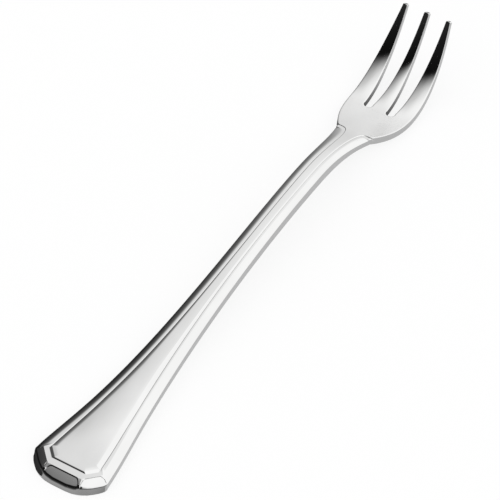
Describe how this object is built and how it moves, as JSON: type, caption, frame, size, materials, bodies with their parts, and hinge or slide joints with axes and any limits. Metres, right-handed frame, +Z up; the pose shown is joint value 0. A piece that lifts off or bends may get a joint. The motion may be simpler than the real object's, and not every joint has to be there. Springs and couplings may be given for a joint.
{
  "type": "oyster fork",
  "caption": "Slim oyster fork of polished steel with upswept tapering tines, an arched neck and a faceted handle with a raised panel, for spearing shellfish.",
  "frame": {"origin": "middle of the fork's box, on the surface that the fork lies on", "axes": "+Y along the fork towards the tips of the tines, +Z up on the hollow side of the tines, +X across"},
  "size_m": [0.018, 0.1506, 0.0156],
  "materials": {
    "steel": "mirror-polished bare stainless steel, not plated"
  },
  "bodies": {
    "root": {"handle": "steel", "neck": "steel", "head": "steel", "tine_left": "steel", "tine_middle": "steel", "tine_right": "steel"}
  },
  "joints": []
}
